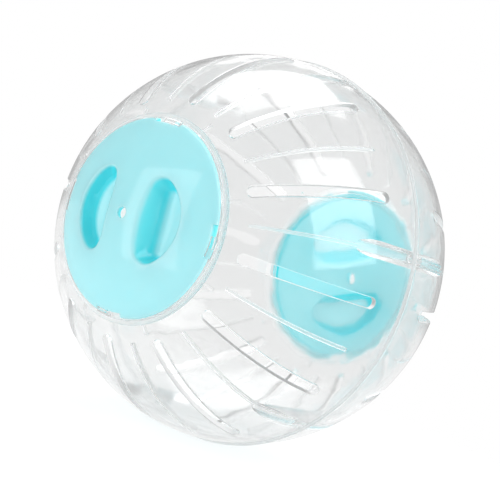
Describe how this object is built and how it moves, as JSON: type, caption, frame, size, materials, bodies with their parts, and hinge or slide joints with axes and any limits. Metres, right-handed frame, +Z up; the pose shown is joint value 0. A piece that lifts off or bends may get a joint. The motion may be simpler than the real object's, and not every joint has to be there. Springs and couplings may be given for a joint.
{
  "type": "hamster ball",
  "caption": "Clear ball that a hamster runs inside: slotted half shells pinned at a seam, with turn-lock lids that have finger recesses.",
  "frame": {"origin": "centre of the ball, in the seam plane", "axes": "+X from the left lid's centre hole to the right lid's, square to the seam; +Z up, through a vent slot of each half"},
  "size_m": [0.12, 0.1212, 0.1212],
  "materials": {
    "clear_shell": "clear polished polystyrene",
    "blue_lid": "glossy pale blue moulded plastic"
  },
  "bodies": {
    "left_half": {"left_half_shell": "clear_shell"},
    "right_half": {"right_half_shell": "clear_shell"},
    "left_lid": {"left_lid": "blue_lid"},
    "right_lid": {"right_lid": "blue_lid"}
  },
  "joints": [
    {"name": "halves_apart", "type": "slide", "parent": "left_half", "child": "right_half", "axis": [1, 0, 0], "range_m": [0, 0.05]},
    {"name": "left_lid_turn", "type": "hinge", "parent": "left_half", "child": "left_lid", "pos_m": [-0.055, 0, 0], "axis": [1, 0, 0], "range_deg": [0, 6]},
    {"name": "right_lid_turn", "type": "hinge", "parent": "right_half", "child": "right_lid", "pos_m": [0.055, 0, 0], "axis": [-1, 0, 0], "range_deg": [0, 6]}
  ]
}
